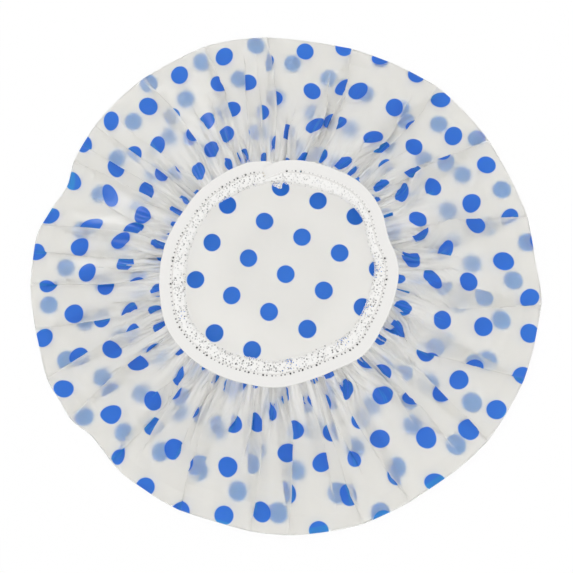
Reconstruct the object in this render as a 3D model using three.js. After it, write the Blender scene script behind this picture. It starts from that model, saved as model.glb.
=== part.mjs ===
// A large shower cap of see-through film with an elastic, lace-edged opening. It lies on its crown with
// the opening up. Millimetres, +Z up, the origin under the middle of the folded rim on the resting face.
import * as THREE from "three";
import { mergeVertices } from "three/addons/utils/BufferGeometryUtils.js";

// Fit
const seatGap = 0.3; // between pieces that touch
const mergeDistance = 0.001;

// Film: one round sheet, flat in the crown, folded over at the rim and gathered to the trim
const filmThickness = 0.15;
const rimRadius = 138.5;
const rimFoldHeight = 2.4;
const rimFoldDepth = 1.2;
const pleatCount = 36;
const pleatHeight = 5.5; // crest over valley beside the band
const pressedPleatHeight = 0.9; // the same under the trim
const pleatUnderShare = 0.14; // how far the under fold drops below the valley
const pleatUnevenShare = 0.2; // how much taller or lower some pleats are
const pleatWanderShare = 0.14; // how far a valley wanders from even spacing
const skirtRiseShare = 1.4; // above 1 the skirt lies low beside the rim and climbs at the trim
const skirtRingShares = [0.3, 0.62, 0.97]; // from the rim to the band's outer edge
const crestShares = [0.45, 0.62, 0.76]; // where each ring has its crest, along a pleat's pitch
const underFoldShares = [0.8, 0.5, 0.34]; // and its under fold, which leans back below the crest
const pressedCrestShare = 0.8;
const pressedUnderFoldShare = 0.3;

// Trim: an elastic band over the film's gathered edge, with a lace edging inside it
const trimHeight = 20; // the band's underside over the resting face
const bandOuterRadius = 61.5;
const trimOffsetX = -2.3; // the opening sits a little to one side of the crown
const trimOffsetY = 0;
const bandWidth = 7;
const bandThickness = 1.5;
const bandEdgeRound = 0.5;
const bandStations = 64; // in a full turn
const joinDirection = THREE.MathUtils.degToRad(87);
const lapLength = 11; // of one end of the trim over the other
const lapRampLength = 14;

// Rubber strands inside the band
const strandCount = 3;
const strandSize = 0.5; // square in section, lying on its edge
const channelMargin = 0.2; // what the channel is larger by, each way
const strandEndInset = 0.6;

// Lace edging
const laceHeaderWidth = 1.5; // under the band
const laceBodyWidth = 4.9;
const picotHeight = 2.3;
const laceThickness = 0.6;
const laceMotifs = 96; // in a full turn

// Seam through the band, the lace and the film
const seamInset = 0.9; // from the band's inner edge
const filmPastSeam = 0.5;
const threadDiameter = 0.35;
const threadSides = 5;
const threadEndGap = 2;

// Outlines seen from above, one share every 15 degrees from +X towards +Y
const rimShares = [
  1.0, 0.995, 0.99, 0.995, 0.99, 0.98, 0.99, 1.01, 1.005, 1.0, 0.975, 0.99,
  1.01, 1.005, 1.015, 0.975, 0.99, 0.985, 0.995, 1.0, 0.995, 1.01, 1.015, 1.015,
];
const bandShares = [
  1.015, 1.0, 1.01, 1.01, 0.99, 0.96, 0.94, 0.98, 1.0, 1.015, 1.015, 1.005,
  0.995, 1.0, 1.005, 1.005, 1.005, 0.995, 0.98, 0.96, 0.97, 0.995, 1.015, 1.02,
];

// Worked out from the values above
const fullTurn = 2 * Math.PI;
const laceWidth = laceHeaderWidth + laceBodyWidth + picotHeight;
const laceTop = -seatGap; // heights from here on are over the band's underside
const laceUnderside = laceTop - laceThickness;
const filmTop = laceUnderside - seatGap;
const lapRise = bandThickness + laceThickness + 2 * seatGap;
const seamInward = bandWidth - seamInset;
const lapTurn = lapLength / bandOuterRadius;
const lapRampTurn = lapRampLength / bandOuterRadius;

// The share at a direction, on a smooth closed curve through all of them
function shareAt(shares, direction) {
  const count = shares.length;
  const place = THREE.MathUtils.euclideanModulo(direction / fullTurn, 1) * count;
  const first = Math.floor(place);
  const along = place - first;
  const [before, from, to, after] = [-1, 0, 1, 2].map((step) => shares[(first + step + count) % count]);
  const slopeFrom = (to - before) / 2;
  const slopeTo = (after - from) / 2;
  const cubic = 2 * from - 2 * to + slopeFrom + slopeTo;
  const square = 3 * to - 3 * from - 2 * slopeFrom - slopeTo;
  return ((cubic * along + square) * along + slopeFrom) * along + from;
}

// A point of the trim: inward is measured from the band's outer edge, height from its underside
function trimPoint(direction, inward, height) {
  const radius = bandOuterRadius * shareAt(bandShares, direction) - inward;
  return new THREE.Vector3(
    trimOffsetX + radius * Math.cos(direction),
    trimOffsetY + radius * Math.sin(direction),
    trimHeight + height,
  );
}

// How high the trim rides where its last stretch climbs over its first
function riseAt(turn) {
  const rampEnd = fullTurn - lapRampTurn / 4;
  return lapRise * THREE.MathUtils.smoothstep(turn, rampEnd - lapRampTurn, rampEnd);
}

function finishGeometry(points, indices) {
  const geometry = new THREE.BufferGeometry().setFromPoints(points);
  geometry.setIndex(indices);
  return mergeVertices(geometry, mergeDistance);
}

// A closed plate from a flat outline with holes. place(x, y, top) gives each corner's point, and
// joins(a, b) tells the edges of the outline that meet the next plate and get no wall.
function plateFaces(outline, holes, place, joins) {
  const corners = [outline, ...holes].flat();
  const points = [false, true].flatMap((top) => corners.map((corner) => place(corner.x, corner.y, top)));
  const indices = [];
  THREE.ShapeUtils.triangulateShape(outline, holes).forEach(([a, b, c]) => {
    const turnsLeft = THREE.ShapeUtils.area([corners[a], corners[b], corners[c]]) > 0;
    const [second, third] = turnsLeft ? [b, c] : [c, b];
    indices.push(a, third, second);
    indices.push(a + corners.length, second + corners.length, third + corners.length);
  });
  let start = 0;
  [outline, ...holes].forEach((loop) => {
    loop.forEach((corner, i) => {
      const next = (i + 1) % loop.length;
      if (joins(corner, loop[next])) return;
      const [a, b] = [start + i, start + next];
      indices.push(a, b, b + corners.length, a, b + corners.length, a + corners.length);
    });
    start += loop.length;
  });
  return { points, indices };
}

// A solid of one section, with holes, drawn along part of the trim. Section corners are (inward, height).
function trimStrip(outline, holes, fromTurn, toTurn, rises) {
  const steps = Math.round((bandStations * (toTurn - fromTurn)) / fullTurn);
  const corners = [outline, ...holes].flat();
  const points = [];
  for (let step = 0; step <= steps; step++) {
    const turn = THREE.MathUtils.lerp(fromTurn, toTurn, step / steps);
    const rise = rises ? riseAt(turn) : 0;
    corners.forEach((corner) => points.push(trimPoint(joinDirection + turn, corner.x, corner.y + rise)));
  }
  const indices = [];
  for (let step = 0; step < steps; step++) {
    let start = step * corners.length;
    [outline, ...holes].forEach((loop) => {
      loop.forEach((corner, i) => {
        const [a, b] = [start + i, start + ((i + 1) % loop.length)];
        const [c, d] = [a + corners.length, b + corners.length];
        indices.push(a, d, c, a, b, d);
      });
      start += loop.length;
    });
  }
  THREE.ShapeUtils.triangulateShape(outline, holes).forEach(([a, b, c]) => {
    const turnsLeft = THREE.ShapeUtils.area([corners[a], corners[b], corners[c]]) > 0;
    const [second, third] = turnsLeft ? [b, c] : [c, b];
    const end = steps * corners.length;
    indices.push(a, third, second);
    indices.push(a + end, second + end, third + end);
  });
  return finishGeometry(points, indices);
}

// A section with equal sides, at a place across the trim
function roundSection(inward, height, radius, sides) {
  return Array.from({ length: sides }, (_, side) => {
    const around = (fullTurn * side) / sides;
    return new THREE.Vector2(inward + radius * Math.cos(around), height + radius * Math.sin(around));
  });
}

// The middle of each strand, evenly spread over the band outside the seam
function strandInward(index) {
  return (seamInward * (index + 1)) / (strandCount + 1);
}

function strandSection(index, margin) {
  const squareSides = 4;
  return roundSection(strandInward(index), bandThickness / 2, strandSize / Math.SQRT2 + margin, squareSides);
}

// The knitted band, flat with rounded edges, and a channel for each strand
function bandGeometry() {
  const outline = [
    new THREE.Vector2(0, bandEdgeRound),
    new THREE.Vector2(bandEdgeRound, 0),
    new THREE.Vector2(bandWidth, 0),
    new THREE.Vector2(bandWidth, bandThickness - bandEdgeRound),
    new THREE.Vector2(bandWidth - bandEdgeRound, bandThickness),
    new THREE.Vector2(bandEdgeRound, bandThickness),
    new THREE.Vector2(0, bandThickness - bandEdgeRound),
  ];
  const channels = Array.from({ length: strandCount }, (_, index) => strandSection(index, channelMargin).reverse());
  return trimStrip(outline, channels, 0, fullTurn + lapTurn, true);
}

function strandGeometry(index) {
  const inset = strandEndInset / bandOuterRadius;
  return trimStrip(strandSection(index, 0), [], inset, fullTurn + lapTurn - inset, true);
}

// A thread along the seam, from the lap's far end once round and over the lap
function threadGeometry(height, rises) {
  const outline = roundSection(seamInward, height, threadDiameter / 2, threadSides);
  const endTurn = threadEndGap / bandOuterRadius;
  return trimStrip(outline, [], lapTurn + endTurn, fullTurn + lapTurn - endTurn, rises);
}

// One repeat of the lace: x runs along it, y inwards, both as shares of the repeat and of the lace's
// width. The header is plain, the body has an open eyelet and the edge a picot loop.
function laceMotif() {
  const header = laceHeaderWidth / laceWidth;
  const valley = (laceHeaderWidth + laceBodyWidth) / laceWidth;
  const shoulder = (valley + 1) / 2;
  const middleShare = 0.5;
  const eyeletWidthShare = 0.3;
  const picotWidthShare = 0.38;
  const loopWidthShare = 0.17;
  const outline = [
    new THREE.Vector2(0, 0),
    new THREE.Vector2(1, 0),
    new THREE.Vector2(1, valley),
    new THREE.Vector2(middleShare + picotWidthShare, shoulder),
    new THREE.Vector2(middleShare, 1),
    new THREE.Vector2(middleShare - picotWidthShare, shoulder),
    new THREE.Vector2(0, valley),
  ];
  const diamond = (low, high, half) => [
    new THREE.Vector2(middleShare, low),
    new THREE.Vector2(middleShare - half, (low + high) / 2),
    new THREE.Vector2(middleShare, high),
    new THREE.Vector2(middleShare + half, (low + high) / 2),
  ];
  const bar = laceThickness / laceWidth;
  const eyelet = diamond(header + bar, valley - bar, eyeletWidthShare);
  const loop = diamond(valley, 1 - bar, loopWidthShare);
  return { outline, holes: [eyelet, loop] };
}

function laceGeometry() {
  const { outline, holes } = laceMotif();
  const motifTurn = fullTurn / laceMotifs;
  const count = Math.floor((fullTurn + lapTurn) / motifTurn);
  const points = [];
  const indices = [];
  for (let motif = 0; motif < count; motif++) {
    const place = (x, y, top) => {
      const turn = (motif + x) * motifTurn;
      const inward = bandWidth - laceHeaderWidth + y * laceWidth;
      const height = (top ? laceTop : laceUnderside) + riseAt(turn);
      return trimPoint(joinDirection + turn, inward, height);
    };
    const joins = (a, b) => a.x === b.x && ((a.x === 0 && motif > 0) || (a.x === 1 && motif < count - 1));
    const faces = plateFaces(outline, holes, place, joins);
    faces.indices.forEach((index) => indices.push(index + points.length));
    points.push(...faces.points);
  }
  return finishGeometry(points, indices);
}

// Where a pleat's valley lies, counted in pleats
function valleyPlace(pleat) {
  return pleat + pleatWanderShare * Math.sin((fullTurn * 5 * pleat) / pleatCount);
}

// The direction of a point that lies a share of the way along a pleat
function pleatDirection(pleat, share) {
  const place = THREE.MathUtils.lerp(valleyPlace(pleat), valleyPlace(pleat + 1), share);
  return (fullTurn * place) / pleatCount;
}

function rimPoint(direction, inward, height) {
  const radius = rimRadius * shareAt(rimShares, direction) - inward;
  return new THREE.Vector3(radius * Math.cos(direction), radius * Math.sin(direction), height);
}

// A point of the skirt's middle surface, along from the rim to the band's outer edge
function skirtPoint(direction, along, lift) {
  const outer = rimPoint(direction, 0, rimFoldHeight / 2);
  const inner = trimPoint(direction, 0, -pleatHeight);
  const point = outer.clone().lerp(inner, along);
  point.z = THREE.MathUtils.lerp(outer.z, inner.z, Math.pow(along, skirtRiseShare)) + lift;
  return point;
}

// The three points of each pleat on every ring: its valley, its crest and its under fold
function pleatRings() {
  const pleats = Array.from({ length: pleatCount }, (_, pleat) => pleat);
  const uneven = (pleat) => 1 - pleatUnevenShare * (0.5 + 0.5 * Math.sin((fullTurn * 11 * pleat) / pleatCount));
  const rings = skirtRingShares.map((along, ring) =>
    pleats.flatMap((pleat) => {
      const height = (pleatHeight - seatGap - filmThickness) * along * uneven(pleat);
      return [
        skirtPoint(pleatDirection(pleat, 0), along, 0),
        skirtPoint(pleatDirection(pleat, crestShares[ring]), along, height),
        skirtPoint(pleatDirection(pleat, underFoldShares[ring]), along, -pleatUnderShare * height),
      ];
    }),
  );
  const pressedTop = filmTop - filmThickness;
  const pressedInward = seamInward + filmPastSeam;
  const pressed = (pleat, share, drop) =>
    trimPoint(pleatDirection(pleat, share), pressedInward, pressedTop - drop * pressedPleatHeight);
  const pressedValleyShare = 0.6;
  rings.push(
    pleats.flatMap((pleat) => [
      pressed(pleat, 0, pressedValleyShare),
      pressed(pleat, pressedCrestShare, 0),
      pressed(pleat, pressedUnderFoldShare, 1),
    ]),
  );
  return rings;
}

// The film's middle surface, as rings of points and the triangles between them, facing inwards. The rim
// has two points a pleat and the skirt three.
function filmSurface() {
  const rimDirections = Array.from({ length: pleatCount }, (_, pleat) => [0, 0.5].map((share) => pleatDirection(pleat, share))).flat();
  const crown = rimDirections.map((direction) => rimPoint(direction, rimFoldDepth, filmThickness / 2));
  const rim = rimDirections.map((direction) => rimPoint(direction, 0, rimFoldHeight / 2));
  const skirt = pleatRings();
  const points = [new THREE.Vector3(0, 0, filmThickness / 2), ...crown, ...rim, ...skirt.flat()];
  const crownStart = 1;
  const rimStart = crownStart + crown.length;
  const skirtStart = rimStart + rim.length;
  const indices = [];
  crown.forEach((_, i) => {
    const next = (i + 1) % crown.length;
    indices.push(0, crownStart + i, crownStart + next);
    indices.push(crownStart + i, rimStart + i, rimStart + next);
    indices.push(crownStart + i, rimStart + next, crownStart + next);
  });
  const around = skirt[0].length;
  for (let pleat = 0; pleat < pleatCount; pleat++) {
    const [r0, r1, r2] = [0, 1, 2].map((step) => rimStart + ((2 * pleat + step) % rim.length));
    const [s0, s1, s2, s3] = [0, 1, 2, 3].map((step) => skirtStart + ((3 * pleat + step) % around));
    indices.push(r0, s0, s1, r1, r0, s1, r1, s1, s2, r2, r1, s2, r2, s2, s3);
  }
  for (let ring = 0; ring + 1 < skirt.length; ring++) {
    for (let i = 0; i < around; i++) {
      const next = (i + 1) % around;
      const [a, b] = [i, next].map((step) => skirtStart + ring * around + step);
      const [c, d] = [a + around, b + around];
      indices.push(a, c, d, a, d, b);
    }
  }
  return { points, indices, lastRing: points.length - around, flatPoints: rimStart };
}

// The surface given its thickness: a copy on each side, joined round the film's cut edge
function filmGeometry() {
  const { points, indices, lastRing, flatPoints } = filmSurface();
  const surface = new THREE.BufferGeometry().setFromPoints(points);
  surface.setIndex(indices);
  surface.computeVertexNormals();
  const normals = surface.getAttribute("normal");
  const side = (distance) =>
    points.map((point, i) => {
      const normal = new THREE.Vector3().fromBufferAttribute(normals, i);
      if (i < flatPoints) normal.set(0, 0, 1);
      return point.clone().addScaledVector(normal, distance);
    });
  const allPoints = [...side(filmThickness / 2), ...side(-filmThickness / 2)];
  const allIndices = [...indices];
  for (let i = 0; i < indices.length; i += 3) {
    const [a, b, c] = indices.slice(i, i + 3).map((index) => index + points.length);
    allIndices.push(a, c, b);
  }
  const around = points.length - lastRing;
  for (let i = 0; i < around; i++) {
    const [a, b] = [lastRing + i, lastRing + ((i + 1) % around)];
    const [c, d] = [a + points.length, b + points.length];
    allIndices.push(b, a, c, b, c, d);
  }
  const geometry = new THREE.BufferGeometry().setFromPoints(allPoints);
  geometry.setIndex(allIndices);
  return geometry;
}

// Finishes
const filmFinish = new THREE.MeshStandardMaterial({ color: 0xe8e6e2, roughness: 0.45, transparent: true, opacity: 0.55 });
const bandFinish = new THREE.MeshStandardMaterial({ color: 0xf4f3f0, roughness: 0.85 });
const laceFinish = new THREE.MeshStandardMaterial({ color: 0xf6f5f2, roughness: 0.9 });
const threadFinish = new THREE.MeshStandardMaterial({ color: 0xfafaf7, roughness: 0.7 });
const rubberFinish = new THREE.MeshStandardMaterial({ color: 0xe9e4d8, roughness: 0.6 });

const showerCap = new THREE.Group();

function addPiece(name, geometry, finish) {
  const piece = new THREE.Mesh(geometry, finish);
  piece.name = name;
  showerCap.add(piece);
}

const needleThreadHeight = bandThickness + seatGap + threadDiameter / 2;
const bobbinThreadHeight = filmTop - filmThickness - pressedPleatHeight - seatGap - threadDiameter;

addPiece("film_shell", filmGeometry(), filmFinish);
addPiece("elastic_tape", bandGeometry(), bandFinish);
addPiece("lace_edging", laceGeometry(), laceFinish);
addPiece("needle_thread", threadGeometry(needleThreadHeight, true), threadFinish);
addPiece("bobbin_thread", threadGeometry(bobbinThreadHeight, false), threadFinish);
for (let index = 0; index < strandCount; index++) {
  addPiece(`rubber_strand_${index + 1}`, strandGeometry(index), rubberFinish);
}

export default showerCap;
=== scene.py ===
import bpy
import math
import random
import numpy as np
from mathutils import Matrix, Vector


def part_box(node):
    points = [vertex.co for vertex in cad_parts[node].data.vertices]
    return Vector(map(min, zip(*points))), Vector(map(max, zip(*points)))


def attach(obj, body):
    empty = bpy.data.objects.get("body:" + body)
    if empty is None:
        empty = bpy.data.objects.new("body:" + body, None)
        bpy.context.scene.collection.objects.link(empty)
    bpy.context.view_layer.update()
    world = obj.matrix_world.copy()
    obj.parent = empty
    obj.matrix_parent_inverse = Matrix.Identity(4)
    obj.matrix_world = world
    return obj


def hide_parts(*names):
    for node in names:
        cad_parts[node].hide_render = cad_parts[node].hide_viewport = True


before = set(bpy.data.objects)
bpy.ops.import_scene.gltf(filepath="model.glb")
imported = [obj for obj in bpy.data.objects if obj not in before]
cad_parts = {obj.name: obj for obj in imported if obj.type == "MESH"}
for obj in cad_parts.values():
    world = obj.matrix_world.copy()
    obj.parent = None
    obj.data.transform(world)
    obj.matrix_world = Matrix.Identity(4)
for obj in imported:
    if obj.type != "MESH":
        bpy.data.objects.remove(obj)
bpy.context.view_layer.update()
mm = 0.001
fullTurn = 2 * math.pi
print("frame loaded:", sorted(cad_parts))


# Camera, floor and light

camera = {
    "place": (10.1 * mm, -44.9 * mm, 306.5 * mm),
    "turn": (6.94, 1.5, 0.0),  # degrees
    "lens": 35.2,
    "sensor": 36.0,
}
floor = {
    "size": 4.0,
    "drop": 0.3 * mm,  # below the crown, so that the two never share a plane
    "white": (1.0, 1.0, 1.0),
    # painted shadow: the floor seen through the film is darker, as if shaded by the cap
    "shadowUnderFilm": (0.775, 0.765, 0.735),
    "shadowShare": 0.12,
    "glowRadius": 56 * mm,  # light thrown back by the white trim onto the floor under it
    "glowReach": 30 * mm,
    "glowColour": (0.93, 0.915, 0.875),
}
light = {
    "world": (0.9, 0.9, 0.9),
    "keyPlace": (-1.2, 1.25, 1.15),
    "keySize": 0.4,
    "keyPower": 4.0,
    "fillPlace": (1.2, -0.9, 1.2),
    "fillSize": 0.6,
    "fillPower": 3.0,
    "filmBounces": 48,  # light goes through many layers of film
    "softBounces": 24,
}


def deselectAll():
    bpy.ops.object.select_all(action="DESELECT")


def activate(piece):
    deselectAll()
    piece.select_set(True)
    bpy.context.view_layer.objects.active = piece


def addCamera():
    deselectAll()
    bpy.ops.object.camera_add(location=camera["place"], rotation=[math.radians(a) for a in camera["turn"]])
    shot = bpy.context.object
    shot.data.lens = camera["lens"]
    shot.data.sensor_width = camera["sensor"]
    bpy.context.scene.camera = shot
    print("camera set")


def addLamp(name, place, size, power):
    deselectAll()
    bpy.ops.object.light_add(type="AREA", location=place)
    lamp = bpy.context.object
    lamp.name = name
    lamp.data.size = size
    lamp.data.energy = power
    lamp.rotation_euler = (-Vector(place)).to_track_quat("-Z", "Y").to_euler()
    print("lamp set:", name)


def addWorld():
    world = bpy.data.worlds.new("studio")
    world.use_nodes = True
    world.node_tree.nodes["Background"].inputs["Color"].default_value = (*light["world"], 1)
    bpy.context.scene.world = world


# Shader sums: a socket that takes part in Python expressions

class Sum:
    def __init__(self, tree, socket):
        self.tree = tree
        self.socket = socket

    def math(self, operation, *others):
        inputs = {slot: item for slot, item in enumerate([self, *others])}
        return addNode(self.tree, "ShaderNodeMath", {"operation": operation}, inputs)

    def __add__(self, other):
        return self.math("ADD", other)

    def __sub__(self, other):
        return self.math("SUBTRACT", other)

    def __mul__(self, other):
        return self.math("MULTIPLY", other)

    def __truediv__(self, other):
        return self.math("DIVIDE", other)

    def __rsub__(self, other):
        return Sum(self.tree, other).math("SUBTRACT", self)

    def __rtruediv__(self, other):
        return Sum(self.tree, other).math("DIVIDE", self)

    __radd__ = __add__
    __rmul__ = __mul__

    # Another output of the same node
    def output(self, name):
        return Sum(self.tree, self.socket.node.outputs[name])

    def clamped(self):
        return self.math("MINIMUM", 1.0).math("MAXIMUM", 0.0)


def link(tree, item, socket):
    if isinstance(item, Sum):
        item = item.socket
    if isinstance(item, bpy.types.NodeSocket):
        tree.links.new(item, socket)
    else:
        socket.default_value = (*item, 1) if socket.type == "RGBA" else item


def addNode(tree, kind, settings=None, inputs=None, output=0):
    node = tree.nodes.new(kind)
    for name, setting in (settings or {}).items():
        setattr(node, name, setting)
    for name, item in (inputs or {}).items():
        link(tree, item, node.inputs[name])
    return Sum(tree, node.outputs[output]) if node.outputs else None


def newMaterial(name):
    material = bpy.data.materials.new(name)
    material.use_nodes = True
    tree = material.node_tree
    tree.nodes.clear()
    return material, tree


def useShader(tree, shader):
    addNode(tree, "ShaderNodeOutputMaterial", None, {"Surface": shader})


def mixColour(tree, share, first, second):
    return addNode(tree, "ShaderNodeMix", {"data_type": "RGBA"}, {0: share, 6: first, 7: second}, 2)


def addFloor():
    deselectAll()
    bpy.ops.mesh.primitive_plane_add(size=floor["size"], location=(0, 0, -floor["drop"]))
    piece = bpy.context.object
    piece.name = "floor"
    material, tree = newMaterial("pale_floor")
    ray = addNode(tree, "ShaderNodeLightPath")
    seen = ray.output("Is Camera Ray")
    through = ray.output("Is Transmission Ray")
    mirrored = ray.output("Is Glossy Ray")
    spot = addNode(tree, "ShaderNodeTexCoord").output("Object")
    radius = addNode(tree, "ShaderNodeVectorMath", {"operation": "LENGTH"}, {0: spot}, 1)
    aside = (radius - floor["glowRadius"]) / floor["glowReach"]
    near = (1 - aside * aside).clamped()
    # painted shadow under the film, with painted light thrown back by the trim near it
    under = mixColour(tree, near, floor["shadowUnderFilm"], floor["glowColour"])
    colour = mixColour(tree, through, floor["white"], under)
    glow = addNode(tree, "ShaderNodeEmission", None, {"Color": colour})
    paint = addNode(tree, "ShaderNodeBsdfDiffuse", None, {"Color": floor["white"]})
    share = (seen + through + mirrored).clamped() * (1 - floor["shadowShare"])
    useShader(tree, addNode(tree, "ShaderNodeMixShader", None, {0: share, 1: paint, 2: glow}))
    piece.data.materials.append(material)
    print("floor laid")


# A table of shares has one every 15 degrees, from +X towards +Y
def shareAt(shares, direction):
    count = len(shares)
    table = np.array(shares)
    place = np.mod(np.asarray(direction) / fullTurn, 1) * count
    first = np.floor(place).astype(int)
    along = place - first
    before, here, there, after = [table[(first + step) % count] for step in (-1, 0, 1, 2)]
    slopeHere = (there - before) / 2
    slopeThere = (after - here) / 2
    cubic = 2 * here - 2 * there + slopeHere + slopeThere
    square = 3 * there - 3 * here - 2 * slopeHere - slopeThere
    return ((cubic * along + square) * along + slopeHere) * along + here


# Trim: where the band's outer edge runs, and how its ends lap

trim = {
    "height": 20 * mm,  # of the band's underside
    "outerRadius": 61.5 * mm,
    # the outer edge seen from above
    "outlineShares": (
        1.017, 0.972, 1.008, 1.015, 0.977, 0.952, 0.925, 0.944, 0.94, 0.943, 0.939, 0.966,
        0.989, 1.015, 1.051, 1.042, 1.023, 1.002, 1.0, 0.978, 0.983, 1.024, 1.009, 1.012,
    ),
    "offset": (-2.3 * mm, 0.0),  # of the opening's middle from the crown's
    "joinDirection": math.radians(87),  # where the seam starts
    "lapLength": 12 * mm,  # how far its end lies on its start
    "lapRampLength": 14 * mm,  # over which it climbs
    "lapRise": 0.85 * mm,
}


def trimPlace(direction, inward):
    radius = trim["outerRadius"] * shareAt(trim["outlineShares"], direction) - inward
    return trim["offset"][0] + radius * np.cos(direction), trim["offset"][1] + radius * np.sin(direction)


# Film: one round sheet whose folds keep its length round every ring

film = {
    "thickness": 0.15 * mm,
    "rimRadius": 138.9 * mm,
    # the rim seen from above
    "rimShares": (
        1.0, 0.995, 0.99, 0.995, 0.99, 0.98, 0.99, 1.01, 1.005, 1.0, 0.98, 0.984,
        1.01, 1.005, 1.015, 0.975, 0.99, 0.985, 0.995, 1.0, 0.995, 1.01, 1.015, 1.015,
    ),
    # where it bends in or out between the long folds: direction and reach in degrees, depth in mm
    "rimDents": ((158, 5, -3.4), (171, 4, 1.6), (210, 4, -1.4), (220, 3, -1.2), (231, 5, 1.7), (355, 5, 1.4)),
    "rimFlatShare": 0.35,  # how straight the rim runs from one long fold to the next
    "foldRadius": 1.1 * mm,
    "columns": 2320,
    "foldRings": 4,
    "skirtRings": 14,
    "ringCrowding": 0.85,  # under 1 sets the rings closer together near the trim
    "pressedRings": 2,
    # share of the crown's radius, and how many times fewer points than the ring before
    "crownRings": ((0.97, 4), (0.86, 5), (0.55, 2), (0.45, 1), (0.36, 1), (0.27, 1), (0.18, 1)),
    "riseShare": 1.55,  # power of the way to the trim with which the skirt rises
    "outerDrop": 3.0 * mm,  # of the sheet at the band's outer edge, below the band
    "edgeDrop": 2.0 * mm,
    "edgeInward": 6.6 * mm,  # where the sheet ends under the band
    "pressedHeight": 0.9 * mm,  # of the folds at the sheet's end
    "least": 0.02,  # the rim's ring is folded as if it were this share of the way to the trim
}
tuck = {
    "seed": 7,
    "bend": 0.65 * mm,  # half the length of film in one crease
    "rimBend": 2.6 * mm,  # the same at the rim, where the folds fade out
    "fadeShare": 0.22,
    "lean": 2.95,  # how far a fold turns back, in radians
    # folds seen in the photograph: degrees from +X, and share of the way to the trim where each begins
    "drawn": (
        (5, 0.5), (13, -0.3), (28, 0.5), (33, -0.3), (36.5, 0.3), (44.5, 0.45), (50, -0.3), (53.7, 0.1),
        (69.5, 0.3), (73, -0.3), (76.7, 0.15), (85.3, 0.5), (93.7, -0.3), (96.7, 0.1), (100, 0.1),
        (109, -0.3), (113, 0.3), (118.5, 0.35), (125.2, -0.3), (136.8, 0.1), (141.8, -0.3), (147, -0.3),
        (151.5, -0.3), (158, 0.2), (168.5, -0.3), (175, -0.3), (178.3, 0.4), (182.5, -0.3), (193, -0.3),
        (204, -0.3), (206.8, 0.5), (211, 0.35), (214.2, -0.3), (223.8, 0.5), (227.7, -0.3), (232.2, 0.1),
        (240.3, 0.25), (242.8, 0.35), (246.7, -0.3), (259, 0.4), (263.2, -0.3), (271.5, -0.3), (283.2, 0.1),
        (287.5, -0.3), (291.8, 0.2), (298.5, -0.3), (310.5, 0.35), (314.3, 0.05), (320.3, -0.3),
        (335.6, -0.3), (352.3, -0.3),
    ),
    "counts": (51, 102),  # of the finer folds between them
    "starts": (0.5, 0.68),
    "startSpread": 0.16,
    "turnShare": 0.75,  # of the folds that lean the other way from the one before
    "growth": 0.45,  # share of the way to the trim over which a fold grows
    "growthPower": 4,
    "flatterShare": 0.35,  # how much lower the folds lie near the trim
    "jitter": 0.27,
    "sizeSpread": 0.45,
    "slant": 0.03,
    "merge": 0.012,  # radians apart at which two folds share their film
    "leastWeight": 1e-9,  # of a fold that hasn't begun
    "samples": 720,  # directions at which the film is shared out and its mean height is taken
    "sizeRange": (0.0, 2.0),  # within which the folds' size is searched for
    "rounds": 14,  # halvings of it
    "waves": ((31, 0.10), (53, 0.12), (88, 0.10)),  # soft waves round the sheet and their slopes
    "waveSwing": 1.5,  # how uneven they are
    "waveGrowth": 3,  # times faster than the way to the trim
    "waveDrift": 2,  # how far each turns aside on that way
    "gathers": 236,  # fine pleats next to the trim
    "gatherStart": 0.5,
    "gatherSlope": 1.5,
    "gatherSwings": ((2.2, 3, 0), (1.2, 7, 1), (0.8, 17, 2)),  # strength, count and phase
    "gatherLeast": 0.75,  # share of their slope that they keep between the patches where they stand high
    "patches": 11,
    "patchSwings": ((0.6, 4, 0),),
    "steadySamples": 1440,
    "steadyWidth": 0.02,  # radians of the smoothing that keeps the folds from drifting sideways
    "trendWidth": 0.07,  # radians over which the mean height is taken, at the rim
    "trendNarrowing": 0.035,  # less than that at the trim
    "coverDepth": 0.15 * mm,  # film this far under a fold's top counts as covered
    "ridgeWidth": 0.5,  # cosine of the film's slope within which a fold counts as its ridge
    "ridgeSpread": 1.0 * mm,
    # how strong the painted highlight along a fold's back is
    "ridgeHighlightStrength": 3.2,
    "ridgeTo": 0.6,  # share of the way to the trim from where the ridges fade
}


def smooth(share):
    share = np.clip(share, 0, 1)
    return share * share * (3 - 2 * share)


def makeTuck(rng, direction, start, spread):
    return {
        "direction": direction % fullTurn,
        "weight": 1 + rng.uniform(-1, 1) * spread,
        "start": start,
        "slant": rng.uniform(-1, 1) * tuck["slant"],
        "drawn": spread == 0,
    }


# Each finer kind of tuck starts nearer to the trim, and lies between the tucks of the kinds before it
def makeTucks():
    rng = random.Random(tuck["seed"])
    tucks = [makeTuck(rng, math.radians(degrees), start, 0) for degrees, start in tuck["drawn"]]
    for count, start in zip(tuck["counts"], tuck["starts"]):
        edges = sorted(t["direction"] for t in tucks)
        for k in range(count):
            before, after = edges[k], edges[(k + 1) % count]
            gap = (after - before) % fullTurn
            direction = before + gap / 2 + rng.uniform(-1, 1) * tuck["jitter"] * gap
            begin = start + rng.uniform(0, 1) * tuck["startSpread"]
            tucks.append(makeTuck(rng, direction, begin, tuck["sizeSpread"]))
    tucks.sort(key=lambda t: t["direction"])
    side = 1
    for t in tucks:
        side *= -1 if rng.random() < tuck["turnShare"] else 1
        t["side"] = side
    return tucks


# A step from 0 to 1 that is one bend to either side of its middle
def crease(values):
    return smooth((values + 1) / 2)


# All in lengths of a fold's bend, except the steps
uptake = {
    "mostHalf": 16,  # half the width of the widest fold
    "halfSteps": 171,
    "reach": 18,
    "steps": 1801,
}


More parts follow.
